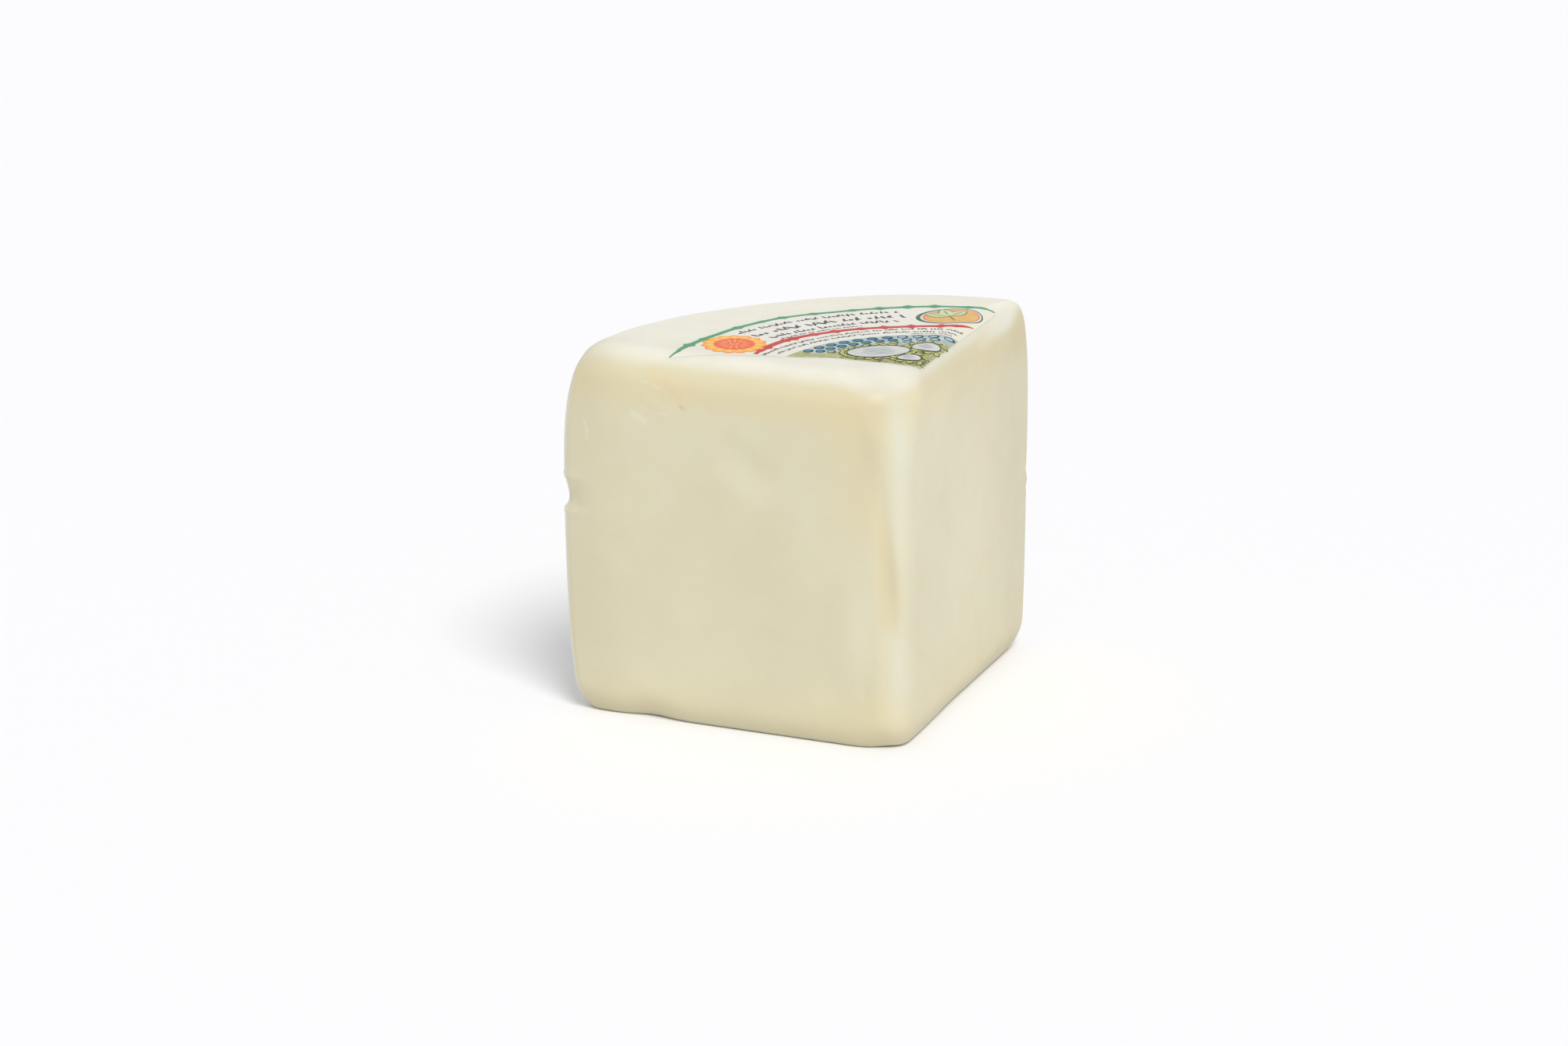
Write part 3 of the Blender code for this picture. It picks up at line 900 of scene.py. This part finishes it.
def soak(tree, tone, along, origin, settings):
    # A tone that comes in by an even rise between two places along one axis of the plan
    start, end, share, wet = settings
    low, high = (float(origin) + 0.001 * place for place in (start, end))
    return mixColour(tree, mapTo(tree, along, low, high, 0, share), tone, wet)


def paperMaterial():
    # Paper in two pale tones, soaked to the cheese's tone along its edges by the cut faces
    material, tree, shader, place = newMaterial("label paper")
    fibres = noise(tree, place, 900, 4)
    clouds = noise(tree, place, 120, 3)
    tone = mixColour(tree, mapTo(tree, clouds, 0.35, 0.65, 0, 1), *label["paper"])
    split = addNode(tree, "ShaderNodeSeparateXYZ")
    tree.links.new(place, split.inputs["Vector"])
    tone = soak(tree, tone, split.outputs["X"], axisPlace[0], label["soakedSide"])
    tone = soak(tree, tone, split.outputs["Y"], axisPlace[1], label["soakedFront"])
    tree.links.new(tone, shader.inputs["Base Color"])
    tree.links.new(mapTo(tree, fibres, 0.3, 0.7, 0.54, 0.68), shader.inputs["Roughness"])
    tree.links.new(bump(tree, fibres, 0.2, 0.0001), shader.inputs["Normal"])
    shader.inputs["Specular IOR Level"].default_value = label["gloss"]
    return material


paper = labelPiece("paper", [fieldTo(label["paperRadius"], (60, 150))], 0, paperMaterial())
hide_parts("label")
print("paper laid")

# Two brushed arcs round the print

arcs = {
    # angle in degrees and radius, along each stroke
    "greenLine": (
        (95.7, 65.2),
        (101.5, 64.0),
        (108.5, 64.2),
        (119.2, 63.4),
        (132.4, 63.2),
        (145.0, 64.2),
        (153.9, 63.6),
        (164.7, 62.7),
        (175.0, 63.1),
        (181.0, 63.4),
        (183.2, 64.6),
    ),
    "redLine": (
        (97.4, 49.7),
        (101.5, 47.2),
        (107.6, 46.0),
        (119.7, 45.6),
        (135.6, 46.2),
        (150.4, 46.7),
        (159.6, 46.8),
        (167.9, 46.2),
        (175.4, 45.4),
    ),
    # half width, its barbs as a share of that, seed, how much heavier the far end is
    "greenStroke": (0.74, 1.4, 5, 0.05),
    "redStroke": (0.86, 1.3, 9, 0.20),
    "barbs": (100, 7.5, 2.5, 12),  # angle of the first, step and scatter in degrees, how many
    "barbWide": 0.030,  # in radians
    "tips": (0.05, 0.09, 0.30),  # how long the near and the far tip are, in radians, and their width's share
    "green": ((0.114, 0.350, 0.185), (0.110, 0.340, 0.170)),
    "red": ((0.540, 0.060, 0.052), (0.660, 0.130, 0.110)),
}


def brushed(base, barb, seed, farEnd):
    # Half width of a brush stroke: the base, with pointed barbs at uneven places, heavier towards its far end
    # and thin at both tips
    draw = np.random.default_rng(seed)
    first, step, scatter, count = arcs["barbs"]
    places = np.radians(first + step * np.arange(count) + draw.uniform(-scatter, scatter, count))
    sizes = draw.uniform(0.2, 1.0, count)
    nearTip, farTip, thin = arcs["tips"]

    def width(angle):
        total = 1.0 + farEnd * smoothStep(140, 180, np.degrees(angle))
        for place, size in zip(places, sizes):
            share = np.clip(1 - np.abs(angle - place) / arcs["barbWide"], 0, 1)
            total = total + barb * size * share**1.5
        full = smoothStep(angle.min(), angle.min() + nearTip, angle)
        full = full * smoothStep(angle.max(), angle.max() - farTip, angle)
        return base * total * (thin + (1 - thin) * full)

    return width


def handDrawn(line):
    # Radius by angle: straight from point to point
    angles, radii = np.array(line).T
    return lambda angle: np.interp(np.degrees(angle), angles, radii)


def drawArc(name, line, stroke, steps, ink):
    band = arcBand(handDrawn(line), brushed(*stroke), line[0][0], line[-1][0], steps)
    labelPiece(name, [band], 1, ink)


greenInk = inkMaterial("green ink", arcs["green"])
redInk = inkMaterial("red ink", arcs["red"])
drawArc("green_arc", arcs["greenLine"], arcs["greenStroke"], 300, greenInk)
drawArc("red_arc", arcs["redLine"], arcs["redStroke"], 260, redInk)
print("arcs drawn")

# A flower and a leafy oval

flower = {
    "centre": (-50.7, 17.2),
    "across": 16.2,
    # how many, first heading, how far out, length and width in halves of the flower, and the power
    "rims": (15, 0.3, 0.67, 0.66, 0.44, 0.4),
    "petals": (15, 0.3, 0.66, 0.58, 0.36, 0.4),
    "lights": (15, 0.3, 0.72, 0.26, 0.14, 0.8),
    "veins": (13, 0.0, 0.36, 0.30, 0.05, 1.0),
    "dots": (7, 0.2, 0.12, 0.12, 0.05, 1.0),
    "base": 0.84,
    "heart": 0.62,
    "petal": ((0.955, 0.450, 0.085), (0.960, 0.560, 0.150)),
    "petalRim": ((0.900, 0.280, 0.075), (0.930, 0.400, 0.120)),
    "petalTip": ((0.970, 0.610, 0.190), (0.940, 0.600, 0.200)),
    "heartTones": ((0.850, 0.150, 0.080), (0.880, 0.250, 0.140)),
    "heartLine": ((0.930, 0.480, 0.160), (0.9, 0.6, 0.3)),
}


def makeFlower():
    centre = flower["centre"]
    half = 0.5 * flower["across"]

    def ring(part, steps=(6, 3)):
        count, first, *shares, power = flower[part]
        headings = first + 2 * math.pi * np.arange(count) / count
        return leavesOut(centre, headings, *(half * share for share in shares), power, steps)

    def middle(part):
        return disc(centre, half * flower[part], half * flower[part])

    labelPiece("petal_rims", [ring("rims", (10, 5))], 2, inkMaterial("deep orange ink", flower["petalRim"]))
    petals = [middle("base"), ring("petals", (10, 5))]
    labelPiece("petals", petals, 3, inkMaterial("orange ink", flower["petal"]))
    labelPiece("petal_lights", [ring("lights")], 4, inkMaterial("amber ink", flower["petalTip"]))
    labelPiece("flower_heart", [middle("heart")], 5, inkMaterial("coral ink", flower["heartTones"]))
    veins = [ring("veins"), ring("dots")]
    labelPiece("flower_veins", veins, 6, inkMaterial("pale amber ink", flower["heartLine"]))


makeFlower()

oval = {
    "centre": (-11.7, 61.0),
    "halfLong": 8.6,
    "halfWide": 6.5,
    "heading": 0.75,
    # each ellipse's share of the whole and how far it is moved
    "rim": (1.0, 0.0),
    "ring": (0.91, 0.35),
    "line": (0.85, 0.45),
    "field": (0.80, 0.50),
    "leafHeadings": (128.0, 190.0, 66.0),
    # how far out each leaf is, its length and its width
    "leafOutline": (3.0, 6.4, 4.0),
    "leaf": (3.0, 5.6, 3.2),
    "leafVein": (3.0, 4.2, 0.5),
    "stem": ((1.4, -1.8), 2.23, 4.6, 0.5),  # where its middle is, heading, length and width
    "rimTones": ((0.060, 0.150, 0.080), (0.16, 0.26, 0.14)),
    "ringTones": ((0.780, 0.740, 0.660), (0.70, 0.68, 0.60)),
    "lineTones": ((0.760, 0.200, 0.120), (0.80, 0.32, 0.18)),
    "fieldTones": ((0.730, 0.440, 0.150), (0.84, 0.54, 0.22)),
    "outlineTones": ((0.19, 0.24, 0.10), (0.26, 0.30, 0.14)),
    "leafTones": ((0.660, 0.690, 0.430), (0.62, 0.68, 0.5)),
    "veinTones": ((0.22, 0.32, 0.14), (0.32, 0.40, 0.20)),
}


def makeOval():
    centre = np.array(oval["centre"])
    inks = {"rim": "dark olive ink", "ring": "ivory ink", "line": "brick ink", "field": "ochre ink"}
    for layer, (part, ink) in enumerate(inks.items(), 1):
        share, shift = oval[part]
        place = centre + np.array([shift, 0.25 * shift])
        ellipse = disc(place, oval["halfLong"] * share, oval["halfWide"] * share, oval["heading"], 19)
        labelPiece("oval_" + part, [ellipse], layer, inkMaterial(ink, oval[part + "Tones"]))
    headings = np.radians(oval["leafHeadings"])
    outline = leavesOut(centre, headings, *oval["leafOutline"], 0.8, (10, 5))
    sprig = leavesOut(centre, headings, *oval["leaf"], 0.8, (10, 5))
    veins = leavesOut(centre, headings, *oval["leafVein"], 0.8)
    stemPlace, *stemShape = oval["stem"]
    stem = leaves([centre + stemPlace], *stemShape, 0.3)
    labelPiece("oval_sprig_outline", [outline], 5, inkMaterial("moss ink", oval["outlineTones"]))
    labelPiece("oval_sprig", [sprig], 6, inkMaterial("pale sage ink", oval["leafTones"]))
    labelPiece("oval_sprig_veins", [veins, stem], 7, inkMaterial("sage ink", oval["veinTones"]))


makeOval()
print("flower and oval drawn")

# Rows of small leaves and dots along arcs round the print

rows = {
    # radius, start and end angle, height of the row
    "main": (
        (59.4, 117.5, 161.0, 2.6),
        (55.0, 115.5, 160.0, 3.5),
        (51.0, 119.0, 158.0, 2.6),
        (48.6, 130.0, 157.5, 1.2),
    ),
    "small": (
        (43.4, 99.5, 175.0, 1.7),
        (41.0, 100.5, 171.0, 1.6),
        (39.2, 101.5, 116.0, 1.0),
    ),
    "ink": ((0.062, 0.052, 0.060), (0.19, 0.17, 0.18)),
    "sprig": (3, 10),  # a sprig has at least the first number of leaves and dots, and fewer than the second
    "gap": 0.9,  # after each sprig, in steps
    "dots": 0.25,  # share of the places that hold a dot
    "lean": (0.1, 0.7),  # of the upright leaves, in radians
    "footTurn": 1.3,  # of the small leaf across the foot of each
    # in heights of the row
    "step": 0.48,
    "reach": (0.55, 1.05),
    "leafWide": 0.26,
    "wander": 0.12,
    "footLeaf": (0.42, 0.17, -0.18, -0.10),  # length, width, how far out and how far along
    "dot": (0.36, 0.38, -0.12),  # length, width, how far out
    "seed": 21,
}


def ornamentRow(radius, start, end, size, draw):
    # Sprigs with a gap after each: upright leaves that lean to either side in turn, a small leaf across the
    # foot of each, and now and then a dot in place of one
    angles, first = [], end
    step = math.degrees(size * rows["step"] / radius)
    while first > start:
        count = int(draw.integers(*rows["sprig"]))
        angles.extend(angle for angle in first - step * np.arange(count) if angle > start)
        first -= (count + rows["gap"]) * step
    angles = np.radians(angles)
    count = len(angles)
    dotted = draw.uniform(size=count) < rows["dots"]
    side = np.where(np.arange(count) % 2 == 0, 1, -1)
    lean = side * draw.uniform(*rows["lean"], count)
    reach = size * draw.uniform(*rows["reach"], count)
    out = radius + rows["wander"] * size * draw.uniform(-1, 1, count)
    wide = rows["leafWide"] * size * draw.uniform(0.8, 1.2, count)
    upright, leafAngles = ~dotted, angles[~dotted]
    places = polar(out[upright], leafAngles)
    tall = leaves(places, leafAngles + lean[upright], reach[upright], wide[upright], 0.7, (5, 3))
    length, width, shift, along = (size * share for share in rows["footLeaf"])
    places = polar(radius + shift, leafAngles + along / radius)
    foot = leaves(places, leafAngles + rows["footTurn"] * side[upright], length, width, 0.8, (5, 3))
    length, width, shift = (size * share for share in rows["dot"])
    dots = leaves(polar(radius + shift, angles[dotted]), angles[dotted], length, width, 0.5)
    return [tall, foot, dots]


def makeRows():
    draw = np.random.default_rng(rows["seed"])
    ink = inkMaterial("dark ink", rows["ink"], patch=900.0, amount=0.8)
    mainRows = [grid for row in rows["main"] for grid in ornamentRow(*row, draw)]
    smallRows = [grid for row in rows["small"] for grid in ornamentRow(*row, draw)]
    labelPiece("leafy_rows", mainRows, 1, ink)
    labelPiece("small_leafy_rows", smallRows, 1, ink)


makeRows()
print("rows drawn")

# A field in the shape of a fan: scallops inside its rim, three pale ovals in leaf rings, an olive ground

fan = {
    "radius": 38.0,
    "ground": ((0.330, 0.350, 0.155), (0.570, 0.570, 0.310)),
    "band": (100, 163.5),  # start and end angle of the blue band inside the rim
    "bandSwell": (97, 71, 9.5, 0.3),  # where its swelling starts, over what angle, its size, least width
    "sky": ((0.330, 0.460, 0.490), (0.560, 0.620, 0.560)),
    # radius of each ring of scallops, their size, first and last angle, how many
    "scallopRings": (
        (36.4, 1.75, 102.0, 162.0, 11),
        (34.0, 1.65, 107.3, 159.3, 10),
        (31.8, 1.5, 112.6, 156.6, 8),
    ),
    "paleTo": 122.0,  # the scallops are pale up to this angle
    "scallopLine": ((0.014, 0.050, 0.085), (0.035, 0.10, 0.15)),
    "scallop": ((0.050, 0.190, 0.290), (0.16, 0.34, 0.42)),
    "scallopPale": ((0.300, 0.470, 0.500), (0.46, 0.60, 0.62)),
    "scallopOlive": ((0.430, 0.420, 0.110), (0.60, 0.56, 0.22)),
    # centre, half length, half width and heading of the pale ovals
    "ovals": (
        ((-16.2, 24.6), 7.6, 4.6, 0.62),
        ((-7.3, 33.2), 3.6, 2.6, 0.9),
        ((-7.6, 22.6), 2.9, 1.9, 0.8),
    ),
    "ovalLine": 0.3,
    "wreath": (2.1, 1.35, 0.45, 1.6),  # leaves per millimetre of half sizes, how far out, turn, margin
    "wreathLeaf": (2.1, 1.0, 0.8),  # length, width, power
    "wreathLine": (2.6, 1.45, 0.7),
    # how many, their reach in half lengths of the oval, and in reaches: how far out the last ones are, how
    # long the longest is, how much shorter the next one is and how wide they are
    "stripes": (5, 0.57, 0.5455, 1.9, 0.18, 0.05),
    "pale": ((0.580, 0.610, 0.590), (0.73, 0.74, 0.69)),
    "leaf": ((0.480, 0.470, 0.150), (0.66, 0.62, 0.22)),
    "dark": ((0.035, 0.055, 0.030), (0.10, 0.14, 0.06)),
    "brown": ((0.07, 0.065, 0.045), (0.15, 0.14, 0.08)),
    "slate": ((0.16, 0.19, 0.22), (0.34, 0.38, 0.42)),
    "blades": (260, (100, 168), (12, 28), (0.8, 2.2), 0.30),  # how many, angles, radii, lengths, width
    "bladeHeading": (0.4, 0.5),  # heading and scatter, in radians
    "bladeMargin": 0.7,
    "seed": 33,
}


def insideLabel(centres, margin):
    # Which plan points lie inside the label's straight edges by a margin
    offset = centres - np.array(label["centre"])
    angle = np.arctan2(offset[:, 1], offset[:, 0])
    return np.hypot(offset[:, 0], offset[:, 1]) > labelEdge(angle) + margin


def makeBand():
    # The blue band inside the fan's rim: its width is the root of a sine, from nearly nothing at both ends
    radius = fan["radius"]
    first, length, widest, least = fan["bandSwell"]

    def halfWide(angle):
        share = np.clip((np.degrees(angle) - first) / length, 0, 1)
        return 0.5 * (widest * np.sqrt(np.sin(math.pi * share)) + least)

    band = arcBand(lambda angle: radius - halfWide(angle), halfWide, *fan["band"], 90, 10)
    labelPiece("blue_band", [band], 2, inkMaterial("pale blue ink", fan["sky"], patch=500.0, amount=1.0))


def makeScallops():
    # Rings of near-round leaves, each with a smaller one laid over it
    lines, blues, pales, olives = [], [], [], []
    for ring, size, start, end, count in fan["scallopRings"]:
        angles = np.radians(np.linspace(start, end, count))
        centres = polar(ring, angles)
        lines.append(leaves(centres, angles, size * 1.5, size * 1.6, 0.5, (8, 5)))
        fill = leaves(centres - 0.1, angles, size, size * 1.1, 0.5, (8, 5))
        pale = angles <= math.radians(fan["paleTo"])
        pales.append(fill[pale])
        last = ring == fan["scallopRings"][-1][0]
        (olives if last else blues).append(fill[~pale])
    labelPiece("scallop_lines", lines, 3, inkMaterial("deep blue ink", fan["scallopLine"]))
    labelPiece("scallops", blues, 4, inkMaterial("blue ink", fan["scallop"]))
    labelPiece("pale_scallops", pales, 4, inkMaterial("light blue ink", fan["scallopPale"]))
    labelPiece("olive_scallops", olives, 4, inkMaterial("light olive ink", fan["scallopOlive"]))


def makeOvals(darkInk):
    # Each pale oval has a line round it, stripes across it and a ring of leaves outside it
    ovals, lines, wreaths, wreathLines, stripes = [], [], [], [], []
    each, outside, turn, margin = fan["wreath"]
    stripeCount, share, spread, longest, less, thin = fan["stripes"]
    number = np.arange(stripeCount) - stripeCount // 2
    for centre, halfLong, halfWide, heading in fan["ovals"]:
        ovals.append(disc(centre, halfLong, halfWide, heading))
        lines.append(disc(centre, halfLong + fan["ovalLine"], halfWide + fan["ovalLine"], heading))
        forwards = np.array([math.cos(heading), math.sin(heading)])
        sideways = np.array([-math.sin(heading), math.cos(heading)])
        count = int(each * (halfLong + halfWide))
        angle = 2 * math.pi * np.arange(count) / count
        u = (halfLong + outside) * np.cos(angle)
        v = (halfWide + outside) * np.sin(angle)
        headings = np.arctan2(halfWide * np.cos(angle), -halfLong * np.sin(angle)) + heading + turn
        places = np.array(centre) + u[:, None] * forwards + v[:, None] * sideways
        inside = insideLabel(places, margin)
        wreathLines.append(leaves(places[inside], headings[inside], *fan["wreathLine"]))
        wreaths.append(leaves(places[inside], headings[inside], *fan["wreathLeaf"]))
        reach = share * halfLong
        places = np.array(centre) + (2 * number / (stripeCount - 1) * spread * reach)[:, None] * sideways
        stripes.append(leaves(places, heading, reach * (longest - less * np.abs(number)), thin * reach, 0.4))
    labelPiece("leaf_ring_lines", wreathLines, 5, darkInk)
    labelPiece("leaf_rings", wreaths, 6, inkMaterial("yellow olive ink", fan["leaf"]))
    labelPiece("oval_lines", lines, 7, inkMaterial("brown ink", fan["brown"]))
    labelPiece("pale_ovals", ovals, 8, inkMaterial("pale ink", fan["pale"], patch=260.0))
    labelPiece("oval_stripes", stripes, 9, inkMaterial("slate ink", fan["slate"]))


def makeBlades(darkInk):
    # Short strokes scattered over the olive ground
    draw = np.random.default_rng(fan["seed"])
    count, angles, radii, lengths, width = fan["blades"]
    angles = np.radians(draw.uniform(*angles, count))
    centres = polar(draw.uniform(*radii, count), angles)
    centres = centres[insideLabel(centres, fan["bladeMargin"])]
    count = len(centres)
    middle, scatter = fan["bladeHeading"]
    headings = draw.uniform(-scatter, scatter, count) + middle
    labelPiece("hatching", [leaves(centres, headings, draw.uniform(*lengths, count), width)], 2, darkInk)


ground = inkMaterial("olive ink", fan["ground"], patch=700.0, amount=0.9)
labelPiece("picture_ground", [fieldTo(fan["radius"], (30, 90))], 1, ground)
makeBand()
makeScallops()
darkGreenInk = inkMaterial("dark green ink", fan["dark"])
makeOvals(darkGreenInk)
makeBlades(darkGreenInk)
print("fan filled:", len(labelPieces), "label pieces")


# The floor

floor = {
    "size": 8.0,
    "below": 0.00002,  # the cheese's foot, in metres
    "colour": (0.943, 0.945, 0.957),
    "shade": (0.938, 0.940, 0.953),
}


def makeFloor():
    mesh = bpy.data.meshes.new("floor")
    half = 0.5 * floor["size"]
    corners = ((-half, -half), (half, -half), (half, half), (-half, half))
    mesh.from_pydata([(x, y, -floor["below"]) for x, y in corners], [], [(0, 1, 2, 3)])
    obj = bpy.data.objects.new("floor", mesh)
    bpy.context.scene.collection.objects.link(obj)
    material, tree, shader, place = newMaterial("pale floor")
    tone = mixColour(tree, noise(tree, place, 3, 2), floor["colour"], floor["shade"])
    tree.links.new(tone, shader.inputs["Base Color"])
    setInputs(shader, Roughness=0.85)
    shader.inputs["Specular IOR Level"].default_value = 0.1
    mesh.materials.append(material)


makeFloor()


bpy.context.view_layer.update()
